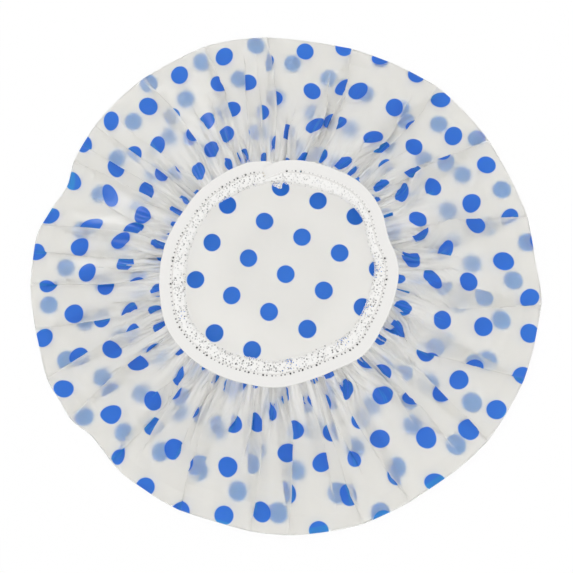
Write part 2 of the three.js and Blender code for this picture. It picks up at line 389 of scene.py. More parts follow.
# Film taken up by a tuck, in lengths of its bend, against its half width
def uptakeTable():
    halves = np.linspace(-1, uptake["mostHalf"], uptake["halfSteps"])
    offsets = np.linspace(-uptake["reach"], uptake["reach"], uptake["steps"])
    turned = [tuck["lean"] * crease(h + offsets) * crease(h - offsets) for h in halves]
    return halves, np.array([(1 - np.cos(angle)).sum() for angle in turned]) * (offsets[1] - offsets[0])


def nearest(offset):
    return (offset + math.pi) % fullTurn - math.pi


# The share of the whole turn that each tuck has to take up, at one ring
def territories(tucks, along):
    samples = np.arange(tuck["samples"]) * fullTurn / tuck["samples"]
    weights = []
    for t in tucks:
        grown = smooth((along - t["start"]) / tuck["growth"]) ** tuck["growthPower"]
        apart = nearest(samples - t["direction"])
        weights.append((t["weight"] * grown + tuck["leastWeight"]) / (apart ** 2 + tuck["merge"] ** 2) ** 2)
    weights = np.array(weights)
    return (weights / weights.sum(0)).mean(1) * fullTurn


def smoothRound(values, width):
    spectrum = np.fft.rfft(values)
    waves = np.arange(len(spectrum))
    return np.fft.irfft(spectrum * np.exp(-0.5 * (waves * width) ** 2), len(values))


# Sines round the sheet, each with its strength, count and phase
def ripple(columns, parts):
    return sum(strength * np.sin(count * columns + phase) for strength, count, phase in parts)


# The soft slopes of the film between its tucks
def looseSlopes(columns, along):
    slopes = 0 * columns
    for number, (waves, slope) in enumerate(tuck["waves"]):
        swing = tuck["waveSwing"] * ripple(columns, ((1, 2, number), (0.5, 5, 2 * number)))
        grown = min(1.0, tuck["waveGrowth"] * along)
        slopes += slope * grown * np.sin(waves * columns + swing + tuck["waveDrift"] * along * number)
    gathered = smooth((along - tuck["gatherStart"]) / (1 - tuck["gatherStart"]))
    swing = ripple(columns, tuck["gatherSwings"])
    patches = np.sin(tuck["patches"] * columns + ripple(columns, tuck["patchSwings"]))
    uneven = tuck["gatherLeast"] + (1 - tuck["gatherLeast"]) * patches
    return slopes + tuck["gatherSlope"] * gathered * uneven * np.sin(tuck["gathers"] * columns + swing)


# How steeply each column of the film turns, so that the ring is drawn in to the wanted share of its length
def foldAngles(tucks, table, columns, along, flatRadius, wanted):
    fading = smooth(1 - along / tuck["fadeShare"])
    bend = (tuck["bend"] + (tuck["rimBend"] - tuck["bend"]) * fading) / flatRadius
    shares = territories(tucks, along)
    loose = looseSlopes(columns, along)
    shown = np.array([t["direction"] + t["slant"] * along for t in tucks])
    sides = np.array([t["side"] for t in tucks])[:, None]
    low, high = tuck["sizeRange"]
    for _ in range(tuck["rounds"]):
        size = (low + high) / 2
        used = size * (1 - wanted) * shares
        centres = shown * (1 - used.sum() / fullTurn) + np.cumsum(used) - used / 2
        centres += (shown - centres).mean()
        apart = nearest(columns[None, :] - centres[:, None])
        halves = np.interp(used / bend, table[1], table[0])[:, None]
        pulses = crease(halves + apart / bend) * crease(halves - apart / bend)
        angles = np.clip((sides * pulses).sum(0), -1, 1) * tuck["lean"]
        angles = angles + loose * (1 - pulses.sum(0).clip(0, 1))
        if np.cos(angles).mean() > wanted:
            low = size
        else:
            high = size
    return angles, pulses, centres, shown, size


# Where each column comes to lie, with the folds kept from drifting sideways from ring to ring
def landedDirections(columns, angles, centres, shown):
    directions = np.cumsum(np.cos(angles)) * fullTurn / len(columns)
    directions *= fullTurn / directions[-1]
    landed = np.interp(centres, columns, directions - columns, period=fullTurn) + centres
    sweep = np.arange(tuck["steadySamples"]) * fullTurn / tuck["steadySamples"]
    drift = np.interp(sweep, landed, shown - landed, period=fullTurn)
    return directions + np.interp(directions, sweep, smoothRound(drift, tuck["steadyWidth"]), period=fullTurn)


# How far each column lies off the mean surface, and whether film lies over it
def foldLift(directions, angles, along, flatRadius):
    lift = np.cumsum(np.sin(angles)) * fullTurn / len(directions) * flatRadius
    lift -= np.linspace(0, lift[-1], len(lift))
    bins = tuck["samples"]
    where = np.mod(directions, fullTurn) / fullTurn * bins
    place = where.astype(int) % bins
    total = np.bincount(place, lift, bins)
    used = np.bincount(place, minlength=bins)
    filled = np.interp(np.arange(bins), np.flatnonzero(used), total[used > 0] / used[used > 0], period=bins)
    trend = smoothRound(filled, tuck["trendWidth"] - tuck["trendNarrowing"] * along)
    lift -= np.interp(where, np.arange(bins) + 0.5, trend, period=bins)
    lift *= 1 - tuck["flatterShare"] * along
    highest = np.full(bins, lift.min())
    np.maximum.at(highest, place, lift)
    return lift, smooth((highest[place] - lift) / tuck["coverDepth"] - 1)


# Painted highlights: white marks along the backs of the drawn folds
def ridgeHighlights(tucks, angles, pulses, along, flatRadius):
    drawn = np.array([t["drawn"] for t in tucks])
    ridgeHighlight = pulses[drawn].sum(0).clip(0, 1) * np.exp(-(np.cos(angles) / tuck["ridgeWidth"]) ** 2)
    ridgeHighlight = (smoothRound(ridgeHighlight, tuck["ridgeSpread"] / flatRadius) * tuck["ridgeHighlightStrength"]).clip(0, 1)
    return ridgeHighlight * (1 - smooth((along - tuck["ridgeTo"]) / (1 - tuck["ridgeTo"])))


# The rim as drawn by its shares, a little straighter between the long folds
def rimRadiusAt(directions, tucks):
    corners = np.array([t["direction"] for t in tucks if t["start"] < 0])
    after = np.searchsorted(corners, np.mod(directions, fullTurn)) % len(corners)
    before = after - 1
    gap = nearest(corners[after] - corners[before])
    offset = nearest(directions - corners[before]) - gap / 2
    straight = np.cos(gap / 2) / np.cos(offset)
    drawn = film["rimRadius"] * shareAt(film["rimShares"], directions)
    radius = drawn * (1 + film["rimFlatShare"] * (straight - 1))
    for middle, reach, depth in film["rimDents"]:
        apart = nearest(directions - math.radians(middle)) / math.radians(reach)
        radius = radius + depth * mm * np.exp(-apart ** 2)
    return radius


def skirtPlaces(along, directions, tucks):
    rimRadius = rimRadiusAt(directions, tucks) - film["foldRadius"]
    rimX, rimY = rimRadius * np.cos(directions), rimRadius * np.sin(directions)
    bandX, bandY = trimPlace(directions, 0)
    rise = along ** film["riseShare"]
    low = 2 * film["foldRadius"] + film["thickness"] / 2
    high = trim["height"] - film["outerDrop"]
    return rimX + (bandX - rimX) * along, rimY + (bandY - rimY) * along, low + (high - low) * rise


def ringLength(along, tucks):
    sweep = np.linspace(0, fullTurn, tuck["samples"] + 1)
    x, y, _ = skirtPlaces(along, sweep, tucks)
    return np.hypot(np.diff(x), np.diff(y)).sum()


def asPoints(x, y, z):
    return np.stack(np.broadcast_arrays(x, y, z), 1)


# Each ring is its points, their radius on the flat sheet, and their marks for the material
def filmRings():
    tucks = makeTucks()
    table = uptakeTable()
    columns = np.arange(film["columns"]) * fullTurn / film["columns"]
    crownRadius = rimRadiusAt(columns, tucks) - film["foldRadius"]
    rings = rimRings(columns, crownRadius)
    flatRadius = crownRadius + film["foldRadius"] * math.pi
    last = None
    for ring in range(film["skirtRings"] + 1):
        along = (ring / film["skirtRings"]) ** film["ringCrowding"]
        mean = asPoints(*skirtPlaces(along, columns, tucks))
        if last is not None:
            flatRadius = flatRadius + np.linalg.norm(mean - last, axis=1)
        last = mean
        flatMean = flatRadius.mean()
        wanted = ringLength(along, tucks) / fullTurn / flatMean
        reached = max(along, film["least"])
        angles, pulses, centres, shown, size = foldAngles(tucks, table, columns, reached, flatMean, wanted)
        directions = landedDirections(columns, angles, centres, shown)
        lift, covered = foldLift(directions, angles, reached, flatMean)
        marks = (covered, ridgeHighlights(tucks, angles, pulses, reached, flatMean))
        x, y, z = skirtPlaces(along, directions, tucks)
        tilt = math.atan2(trim["height"], film["rimRadius"] - trim["outerRadius"]) * along
        outX, outY = np.cos(directions) * math.sin(tilt), np.sin(directions) * math.sin(tilt)
        points = asPoints(x + lift * outX, y + lift * outY, z + lift * math.cos(tilt))
        rings.append((points, flatRadius, marks))
        high = (lift.max() - lift.min()) / mm
        print("film ring", ring, "size", round(size, 3), "folds", round(high, 2), "mm high")
    return columns, rings + pressedRings(directions, lift, flatRadius, marks)


# Round the fold at the rim
def rimRings(columns, crownRadius):
    rings = []
    fold = film["foldRadius"]
    for ring in range(film["foldRings"]):
        turn = math.pi * ring / film["foldRings"]
        radius = crownRadius + fold * math.sin(turn)
        height = film["thickness"] / 2 + fold * (1 - math.cos(turn))
        points = asPoints(radius * np.cos(columns), radius * np.sin(columns), height)
        rings.append((points, crownRadius + fold * turn, (0 * columns, 0 * columns)))
    return rings


# Under the band, where the folds are pressed flat
def pressedRings(directions, lift, flatRadius, marks):
    rings = []
    pressed = film["pressedHeight"] / 2 / np.abs(lift).max()
    for ring in range(1, film["pressedRings"] + 1):
        share = ring / film["pressedRings"]
        x, y = trimPlace(directions, film["edgeInward"] * share)
        drop = film["outerDrop"] + (film["edgeDrop"] - film["outerDrop"]) * share
        height = trim["height"] - drop + lift * (1 + (pressed - 1) * share)
        rings.append((asPoints(x, y, height), flatRadius + film["edgeInward"] * share, marks))
    return rings


# Triangles between a fine ring and one with as many points or a few times fewer
def stitchRings(fineStart, fineCount, coarseStart, coarseCount):
    each = fineCount // coarseCount
    faces = []
    for i in range(coarseCount):
        here, there = coarseStart + i, coarseStart + (i + 1) % coarseCount
        for k in range(each):
            a = fineStart + (i * each + k) % fineCount
            b = fineStart + (i * each + k + 1) % fineCount
            faces.append((here, a, b))
        faces.append((here, b, there))
    return faces


def addSheet(name, points, faces, flatPoints, flatSize):
    mesh = bpy.data.meshes.new(name)
    mesh.from_pydata([tuple(p) for p in points], [], faces)
    mesh.update()
    loops = np.zeros(len(mesh.loops), dtype=np.int32)
    mesh.loops.foreach_get("vertex_index", loops)
    layer = mesh.uv_layers.new(name="flat")
    layer.data.foreach_set("uv", (flatPoints[loops] / flatSize + 0.5).astype(np.float32).ravel())
    piece = bpy.data.objects.new(name, mesh)
    bpy.context.scene.collection.objects.link(piece)
    return piece


dots = {
    "pitch": 23.2 * mm,
    "diameter": 10.05 * mm,
    "turn": math.radians(-23.64),
    "first": (-19.6 * mm, 8.6 * mm),  # where one of them lies
    "edge": 0.45 * mm,  # how soft its outline is
    "centreShare": 0.02,  # how much closer together the dots lie in the middle of the crown
    # how far outwards the print lies off an even crown, as shares of the rim's radius
    "slipShares": (
        0.005, 0.01, 0.02, 0.025, 0.02, 0.015, 0.01, -0.02, -0.02, -0.005, 0.005, 0.0,
        0.015, 0.02, 0.005, 0.02, 0.005, -0.005, -0.02, -0.04, -0.03, -0.03, -0.03, -0.02,
    ),
    "skirtLag": 2.7 * mm,  # film taken up inwards by the skirt's small folds
    "lagFrom": 148 * mm,
    "lagReach": 22 * mm,
    # where the film is pushed sideways: centre, reach and shift, in mm
    "nudges": (((-0.9, 50.0), 13, (-0.3, -2.3)), ((-47.0, 7.0), 20, (1.0, -0.5))),
    "ink": (0.038, 0.25, 0.84),
    "inkNear": (0.022, 0.2, 0.79),  # where the film is crushed near the trim
    "nearReach": 40 * mm,
    # painted light: the ink is lighter and greener where film covers it, making up for light lost through the
    # cover
    "inkLitUnder": (0.04, 0.36, 0.82),  # a little greener on the part of the crown that the skirt covers
    "underFrom": 62 * mm,
    "underReach": 15 * mm,
    "underTo": 139 * mm,
    "clearness": 0.5,  # share of the ink that lets light through
}


# The print's own place for each place on the flat sheet
def printedPlaces(flatPoints):
    radius = np.linalg.norm(flatPoints, axis=1)
    share = radius / film["rimRadius"]
    heading = np.arctan2(flatPoints[:, 1], flatPoints[:, 0])
    slip = shareAt(dots["slipShares"], heading) * film["rimRadius"]
    closer = 1 + dots["centreShare"] * (1 - share ** 2).clip(0, 1)
    moved = radius * closer + slip * np.minimum(share, 1) ** 2
    moved -= dots["skirtLag"] * smooth((radius - dots["lagFrom"]) / dots["lagReach"])
    printed = flatPoints * (moved / np.maximum(radius, mm))[:, None]
    for centre, reach, shift in dots["nudges"]:
        apart = np.linalg.norm(flatPoints / mm - centre, axis=1)
        printed = printed - np.exp(-(apart / reach) ** 2)[:, None] * np.array(shift) * mm
    return printed


# The rings of the crown, coarser towards the middle, from a fine ring at its rim
def addCrown(rimPoints, points, flats, faces):
    fineStart, fineCount = 0, len(rimPoints)
    total = sum(len(ring) for ring in points)
    for share, each in film["crownRings"]:
        count = fineCount // each
        coarse = rimPoints[::len(rimPoints) // count] * np.array([share, share, 1])
        points.append(coarse)
        flats.append(coarse[:, :2])
        faces += stitchRings(fineStart, fineCount, total, count)
        fineStart, fineCount, total = total, count, total + count
    points.append(np.array([[0, 0, film["thickness"] / 2]]))
    flats.append(np.zeros((1, 2)))
    faces += [(total, fineStart + i, fineStart + (i + 1) % fineCount) for i in range(fineCount)]


def addFilm():
    columns, rings = filmRings()
    count = film["columns"]
    heading = np.stack([np.cos(columns), np.sin(columns)], 1)
    points = [ring[0] for ring in rings]
    flats = [heading * ring[1][:, None] for ring in rings]
    faces = []
    for ring in range(len(rings) - 1):
        for i in range(count):
            a, b = ring * count + i, ring * count + (i + 1) % count
            faces.append((a, a + count, b + count, b))
    addCrown(rings[0][0], points, flats, faces)
    flatPoints = np.concatenate(flats)
    flatRadius = np.linalg.norm(flatPoints, axis=1).max()
    piece = addSheet("film_sheet", np.concatenate(points), faces, printedPlaces(flatPoints), 2 * flatRadius)
    for number, name in enumerate(("covered", "ridgeHighlight")):
        marks = np.zeros(len(flatPoints), dtype=np.float32)
        marks[:len(rings) * count] = np.concatenate([ring[2][number] for ring in rings])
        piece.data.attributes.new(name, "FLOAT", "POINT").data.foreach_set("value", marks)
    wall = piece.modifiers.new("thickness", "SOLIDIFY")
    wall.thickness = film["thickness"]
    wall.offset = 0
    activate(piece)
    bpy.ops.object.modifier_apply(modifier=wall.name)
    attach(piece, "root")
    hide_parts("film_shell")
    piece.data.materials.append(filmMaterial(2 * flatRadius))
    print("film:", len(piece.data.polygons), "faces, flat radius", round(flatRadius / mm, 1), "mm")


# Printed film: frosted and see-through, with dots in a square lattice on the flat sheet

frost = {
    "clear": (1.0, 0.998, 0.99),
    "milk": (0.87, 0.86, 0.825),
    "milkShare": 0.12,  # on each face of the film
    "roughness": 0.8,
    "index": 1.2,  # low, because so thin a film hardly bends light
    "gloss": 0.6,
    "glossRoughness": 0.22,
    # near the trim the crushed film is whiter and more opaque, and it is also painted lighter against the
    # shade of its many layers
    "crushedAndLitMilk": (0.975, 0.97, 0.95),  # where the film is crushed white near the trim
    "crushedAndLitShare": 0.13,
    # painted highlight: more milk along the backs of the long folds
    "ridgeHighlightShare": 0.75,  # more milk along the backs of the long folds
    "brightFrom": 160 * mm,  # on the flat sheet, as are the other distances
    "brightReach": 50 * mm,
    "creaseFrom": 175 * mm,
    "creaseReach": 45 * mm,
    "creaseCount": 75.0,  # how fine the crushed lines are round the sheet
    "creaseLength": 14 * mm,
    "creaseWidthShare": 0.07,
    # the crushed lines are painted shade, darkened toward this grey
    "creaseShadeDepth": 0.28,
    "creaseShadeTone": (0.62, 0.62, 0.62),
}


def flatMap(tree):
    return addNode(tree, "ShaderNodeUVMap", {"uv_map": "flat"})


def partsOf(tree, vector):
    first = addNode(tree, "ShaderNodeSeparateXYZ", None, {0: vector})
    return first, first.output("Y")


def attributeOf(tree, name):
    return addNode(tree, "ShaderNodeAttribute", {"attribute_name": name}, None, 2)


def dotMask(tree, flatSize):
    across, along = partsOf(tree, flatMap(tree))
    x = (across - 0.5) * flatSize - dots["first"][0]
    y = (along - 0.5) * flatSize - dots["first"][1]
    cosine, sine = math.cos(dots["turn"]) / dots["pitch"], math.sin(dots["turn"]) / dots["pitch"]
    across = x * cosine + y * sine
    down = y * cosine - x * sine
    fromX = across - across.math("ROUND")
    fromY = down - down.math("ROUND")
    distance = (fromX * fromX + fromY * fromY).math("SQRT") * dots["pitch"]
    return ((dots["diameter"] / 2 - distance) / dots["edge"] + 0.5).clamped()


# Painted shade: thin dark lines that run inwards, where the film is crushed into fine pleats
def creaseMasks(tree, flatSize):
    middle = {0: flatMap(tree), 1: (0.5, 0.5, 0)}
    centred = addNode(tree, "ShaderNodeVectorMath", {"operation": "SUBTRACT"}, middle)
    radius = addNode(tree, "ShaderNodeVectorMath", {"operation": "LENGTH"}, {0: centred}, 1) * flatSize
    heading = addNode(tree, "ShaderNodeVectorMath", {"operation": "NORMALIZE"}, {0: centred})
    spread = {0: heading, "Scale": frost["creaseCount"]}
    around = addNode(tree, "ShaderNodeVectorMath", {"operation": "SCALE"}, spread)
    outward = addNode(tree, "ShaderNodeCombineXYZ", None, {2: radius / frost["creaseLength"]})
    place = addNode(tree, "ShaderNodeVectorMath", {"operation": "ADD"}, {0: around, 1: outward})
    noise = addNode(tree, "ShaderNodeTexNoise", None, {"Vector": place, "Scale": 1.0, "Detail": 2.0})
    line = (1 - (noise - 0.5).math("ABSOLUTE") / frost["creaseWidthShare"]).clamped()
    near = ((radius - frost["creaseFrom"]) / frost["creaseReach"]).clamped()
    # film near the trim: whiter where it is crushed, plus painted light against the shade of its stacked
    # layers
    crushedAndLit = ((radius - frost["brightFrom"]) / frost["brightReach"]).clamped()
    covered = ((radius - dots["underFrom"]) / dots["underReach"]).clamped()
    covered = covered * ((dots["underTo"] - radius) / mm).clamped()
    crushed = ((radius - dots["underTo"]) / dots["nearReach"]).clamped()
    covered = covered.math("MAXIMUM", attributeOf(tree, "covered"))
    return line * near * frost["creaseShadeDepth"], crushedAndLit, covered, crushed


def filmMaterial(flatSize):
    material, tree = newMaterial("printed_film")
    mask = dotMask(tree, flatSize)
    crease, crushedAndLit, covered, crushed = creaseMasks(tree, flatSize)
    ridgeHighlight = attributeOf(tree, "ridgeHighlight")
    # white carries the painted highlights on the fold backs and the partly painted light near the trim
    white = crushedAndLit.math("MAXIMUM", ridgeHighlight)
    seenInk = mixColour(tree, crushed, dots["ink"], dots["inkNear"])
    # the clear film's colour holds the painted shade of the crushed lines
    clear = addNode(tree, "ShaderNodeBsdfPrincipled", None, {
        "Base Color": mixColour(tree, crease, frost["clear"], frost["creaseShadeTone"]),
        "Roughness": frost["roughness"],
        "IOR": frost["index"],
        "Transmission Weight": 1.0,
        "Coat Weight": frost["gloss"],
        "Coat Roughness": frost["glossRoughness"],
    })
    milk = addNode(tree, "ShaderNodeBsdfPrincipled", None, {
        "Base Color": mixColour(tree, white, frost["milk"], frost["crushedAndLitMilk"]),
        "Roughness": frost["roughness"],
        "IOR": frost["index"],
        "Coat Weight": frost["gloss"],
        "Coat Roughness": frost["glossRoughness"],
    })
    ink = addNode(tree, "ShaderNodeBsdfPrincipled", None, {
        # painted light on the covered ink
        "Base Color": mixColour(tree, covered, seenInk, dots["inkLitUnder"]),
        "Roughness": frost["roughness"],
        "IOR": frost["index"],
        "Transmission Weight": dots["clearness"],
        "Coat Weight": frost["gloss"],
        "Coat Roughness": frost["glossRoughness"],
    })
    # the film's own milk, plus painted light near the trim and painted highlights along the fold backs
    milkAndPaintedLight = crushedAndLit * frost["crushedAndLitShare"] + ridgeHighlight * frost["ridgeHighlightShare"] + frost["milkShare"]
    bare = addNode(tree, "ShaderNodeMixShader", None, {0: milkAndPaintedLight, 1: clear, 2: milk})
    useShader(tree, addNode(tree, "ShaderNodeMixShader", None, {0: mask, 1: bare, 2: ink}))
    return material


# Trim: strips made flat, with X along the seam, Y towards the middle and Z up, then bent round

seam = {
    # how plain the holes and the lace's gaps show
    "plainShares": (
        0.9, 0.7, 0.55, 0.4, 0.4, 0.5, 0.75, 0.9, 0.95, 0.9, 0.85, 0.95,
        1.05, 1.1, 1.1, 1.1, 1.1, 1.15, 1.2, 1.2, 1.15, 1.1, 1.1, 1.0,
    ),
    "inward": 6.1 * mm,  # from the band's outer edge
    "pitches": 77,  # each has a pair of needle holes
    "holeShift": 0.95 * mm,  # of the needle holes, either way from the middle of a pitch
    "holeRadius": 0.36 * mm,
    "holeEdge": 0.22 * mm,
    "holeLeastShare": 0.75,  # of that radius in the faintest, and what the deepest add to it
    "holeMoreShare": 0.5,
    "stations": 400,
    # the trim is pushed inwards here, where its two ends meet
    "notchDirection": math.radians(91.6),
    "notchDepth": 1.7 * mm,
    "notchReach": math.radians(5.5),
    "notchPower": 1.4,
    "endFrom": 0.75,  # share of a turn after which the seam counts as its lapped end
    "lapVeer": 17 * mm,  # how far the lapped end turns inward, for each radian past the notch
    "startTuck": 0.9 * mm,  # how far the hidden end lies inward
    "startTuckLength": 5 * mm,
    "plainLength": 11.5 * mm,  # of the lapped end, without needle holes
    "pressLength": 11 * mm,  # of each end that is pressed flat in the lap
    "pressRamp": 5 * mm,
    "pressShare": 0.5,  # of the height that is left there
    "tipLength": 3.5 * mm,  # of the lapped end, which thins out and lies down
    "tipShare": 0.06,
    "tipDrop": 0.5 * mm,
    "hiddenHoles": 2,  # at the start, under the lapped end
    "seed": 3,
    # the needle holes that get the darkest painted shade, in degrees from +X
    "darkHoles": (
        5, 31.8, 77, 83.8, 98, 108, 113.2, 123.5, 143.8, 174, 176, 188.6, 211.8, 225.2, 231.5, 255.2,
        262.5, 276, 284, 292.3, 302.3, 311.7, 316.3, 353.3,
    ),
    # and those that show grey
    "greyHoles": (
        79, 103, 115, 136, 159.5, 207, 208.5, 213.5, 216, 227, 229.5, 234, 253, 258, 264.5, 274.5,
        277.5, 279.5, 282.5, 294.3, 304, 307, 309, 313.3, 318, 321, 322.5, 349.5, 351,
    ),
    "greyShade": 0.8,
    "faintest": 0.36,  # of all the others
    "faintSpread": 0.45,
    "mergeReach": 0.01 * mm,  # of the copies of one pitch
}


# The last stretch climbs onto the start of the seam
def riseAt(travelled):
    before = fullTurn - trim["lapRampLength"] / trim["outerRadius"]
    return trim["lapRise"] * smooth((travelled - before) / (fullTurn - before))


def seamPlaces():
    whole = fullTurn + trim["lapLength"] / trim["outerRadius"]
    travelled = np.linspace(0, whole, seam["stations"])
    directions = trim["joinDirection"] + travelled
    past = nearest(directions - seam["notchDirection"])
    notch = np.clip(1 - np.abs(past) / seam["notchReach"], 0, 1) ** seam["notchPower"] * seam["notchDepth"]
    veered = seam["notchDepth"] + seam["lapVeer"] * past
    notch = np.where((travelled > seam["endFrom"] * fullTurn) & (past > 0), veered, notch)
    startReach = seam["startTuckLength"] / trim["outerRadius"]
    tucked = np.clip(1 - travelled / startReach, 0, 1)
    inward = seam["inward"] + notch + seam["startTuck"] * tucked ** 2
    x, y = trimPlace(directions, inward)
    return np.stack([x, y, trim["height"] + riseAt(travelled)], 1), directions


# The seam as a curve, with what the trim's pieces need to know of it
def addSeam():
    places, directions = seamPlaces()
    data = bpy.data.curves.new("seam_path", "CURVE")
    data.dimensions = "3D"
    data.twist_mode = "Z_UP"
    data.use_radius = False
    data.use_deform_bounds = True
    spline = data.splines.new("POLY")
    spline.points.add(len(places) - 1)
    for point, place in zip(spline.points, places):
        point.co = (*place, 1)
    path = bpy.data.objects.new("seam_path", data)
    bpy.context.scene.collection.objects.link(path)
    steps = np.linalg.norm(np.diff(places, axis=0), axis=1)
    lengths = np.concatenate([[0], np.cumsum(steps)])
    length = float(lengths[-1])
    route = {"path": path, "lengths": lengths, "directions": directions, "length": length}
    route["pitch"] = length / seam["pitches"]
    route["depths"] = holeShadeDepths(route)
    print("seam:", round(length / mm, 1), "mm")
    return route


def selectVertices(piece, chosen):
    bpy.ops.object.mode_set(mode="EDIT")
    bpy.ops.mesh.select_mode(type="VERT")
    bpy.ops.mesh.select_all(action="DESELECT")
    bpy.ops.object.mode_set(mode="OBJECT")
    for v in piece.data.vertices:
        v.select = chosen(v.co)
    bpy.ops.object.mode_set(mode="EDIT")


def applyAll(piece):
    activate(piece)
    for modifier in list(piece.modifiers):
        bpy.ops.object.modifier_apply(modifier=modifier.name)


def repeatAlongSeam(piece, route):
    row = piece.modifiers.new("row", "ARRAY")
    row.count = seam["pitches"]
    row.use_relative_offset = False
    row.use_constant_offset = True
    row.constant_offset_displace = (route["pitch"], 0, 0)
    row.use_merge_vertices = True
    row.merge_threshold = seam["mergeReach"]
    applyAll(piece)


# A strip along the whole seam, from rows of its places across and heights, all in mm
def addStrip(name, rows, columns, route):
    deselectAll()
    bpy.ops.mesh.primitive_grid_add(x_subdivisions=columns, y_subdivisions=1, size=1, location=(0.5, 0.5, 0))
    piece = bpy.context.object
    piece.name = name
    bpy.ops.object.transform_apply(location=True, rotation=True, scale=True)
    selectVertices(piece, lambda co: co.y > 0.5)
    bpy.ops.mesh.delete(type="VERT")
    bpy.ops.mesh.select_all(action="SELECT")
    bpy.ops.transform.resize(value=(route["pitch"], 1, 1), center_override=(0, 0, 0))
    bpy.ops.transform.translate(value=Vector((0, *rows[0])) * mm)
    for here, there in zip(rows, rows[1:]):
        step = (Vector((0, *there)) - Vector((0, *here))) * mm
        bpy.ops.mesh.extrude_region_move(TRANSFORM_OT_translate={"value": step})
    bpy.ops.mesh.select_all(action="SELECT")
    bpy.ops.mesh.normals_make_consistent(inside=False)
    bpy.ops.object.mode_set(mode="OBJECT")
    if piece.data.polygons[0].normal.z < 0:
        piece.data.flip_normals()
    repeatAlongSeam(piece, route)
    return piece


def cutCells(piece, chosen):
    bpy.ops.object.mode_set(mode="EDIT")
    bpy.ops.mesh.select_mode(type="FACE")
    bpy.ops.mesh.select_all(action="DESELECT")
    bpy.ops.object.mode_set(mode="OBJECT")
    for face in piece.data.polygons:
        face.select = bool(chosen(face.center))
    bpy.ops.object.mode_set(mode="EDIT")
    bpy.ops.mesh.delete(type="FACE")
    bpy.ops.mesh.select_mode(type="VERT")
    bpy.ops.object.mode_set(mode="OBJECT")


def thicken(piece, thickness, offset):
    wall = piece.modifiers.new("wall", "SOLIDIFY")
    wall.thickness = thickness
    wall.offset = offset
    applyAll(piece)


def roundOff(piece):
    rounded = piece.modifiers.new("rounded", "SUBSURF")
    rounded.levels = rounded.render_levels = 1
    applyAll(piece)


def placesOf(piece):
    places = np.zeros(len(piece.data.vertices) * 3)
    piece.data.vertices.foreach_get("co", places)
    return places.reshape(-1, 3)


def moveTo(piece, places):
    piece.data.vertices.foreach_set("co", places.ravel())
    piece.data.update()


# The strip's places along and across the seam, as shares of its length, before it is bent round
def mapFlat(piece, length):
    loops = np.zeros(len(piece.data.loops), dtype=np.int32)
    piece.data.loops.foreach_get("vertex_index", loops)
    flat = placesOf(piece)[loops, :2] / length + (0, 0.5)
    layer = piece.data.uv_layers.active or piece.data.uv_layers.new(name="flat")
    layer.name = "flat"
    layer.data.foreach_set("uv", flat.astype(np.float32).ravel())


# The two ends of a strip lie on each other, so they are pressed flat there
def pressEnds(piece, length):
    places = placesOf(piece)
    fromEnd = np.minimum(places[:, 0], length - places[:, 0])
    pressed = 1 - smooth((fromEnd - seam["pressLength"]) / seam["pressRamp"])
    tip = 1 - smooth((length - places[:, 0]) / seam["tipLength"])
    places[:, 2] *= (1 - (1 - seam["pressShare"]) * pressed) * (1 - (1 - seam["tipShare"]) * tip)
    places[:, 2] -= seam["tipDrop"] * tip
    moveTo(piece, places)


def directionAt(x, route):
    return np.interp(x, route["lengths"], route["directions"])


# Painted shade in each needle hole: a few are open and dark, and those in the lap are hidden
def holeShadeDepths(route):
    rng = random.Random(seam["seed"])
    depths = []
    places = []
    for number in range(2 * seam["pitches"]):
        side = 1 if number % 2 else -1
        x = (number // 2 + 0.5) * route["pitch"] + side * seam["holeShift"]
        places.append(x)
        depths.append(seam["faintest"] + seam["faintSpread"] * rng.random())
    places = np.array(places)
    plain = shareAt(seam["plainShares"], directionAt(places, route))
    depths = list(np.minimum(depths * plain, seam["greyShade"]))
    marked = [(degrees, seam["greyShade"]) for degrees in seam["greyHoles"]]
    marked += [(degrees, 1.0) for degrees in seam["darkHoles"]]
    for degrees, depth in marked:
        apart = np.abs(nearest(directionAt(places, route) - math.radians(degrees)))
        apart[:seam["hiddenHoles"]] = fullTurn
        depths[int(apart.argmin())] = depth
    for number, x in enumerate(places):
        if x > route["length"] - seam["plainLength"]:
            depths[number] = 0.0
    return depths


# The hole that belongs to a place along the seam: two for each pitch
def holeAt(x, pitch):
    turn = min(max(int(x / pitch), 0), seam["pitches"] - 1)
    return 2 * turn + (1 if x / pitch - turn > 0.5 else 0)


def markHoles(piece, route):
    shadeDepth = piece.data.attributes.new("shadeDepth", "FLOAT", "POINT")
    for number, v in enumerate(piece.data.vertices):
        shadeDepth.data[number].value = route["depths"][holeAt(v.co.x, route["pitch"])]


def markPlain(piece, route):
    shares = shareAt(seam["plainShares"], directionAt(placesOf(piece)[:, 0], route))
    plain = piece.data.attributes.new("plain", "FLOAT", "POINT")
    plain.data.foreach_set("value", shares.astype(np.float32))


def finishTrim(piece, route):
    mapFlat(piece, route["length"])
    markHoles(piece, route)
    pressEnds(piece, route["length"])
    bent = piece.modifiers.new("bent", "CURVE")
    bent.object = route["path"]
    bent.deform_axis = "POS_X"
    applyAll(piece)
    bpy.ops.object.shade_smooth()


def holeOffset(place, pitch):
    local = place % pitch - pitch / 2
    return abs(abs(local) - seam["holeShift"])


band = {
    # across, from the outer edge inwards, and height of the upper side, in mm
    "rows": (
        (-6.1, 1.1), (-5.85, 1.45), (-5.1, 1.6), (-4.35, 1.48), (-3.6, 1.6), (-2.8, 1.48),
        (-2.0, 1.55), (-1.2, 1.4), (-0.36, 1.2), (0.36, 1.02), (0.9, 0.6),
    ),
    "columns": 12,
    "thickness": 1.5 * mm,
    "slit": 0.1 * mm,  # half the width across which a hole's cells are looked for
    "topFrom": 0.5 * mm,  # what lies lower is made level
}


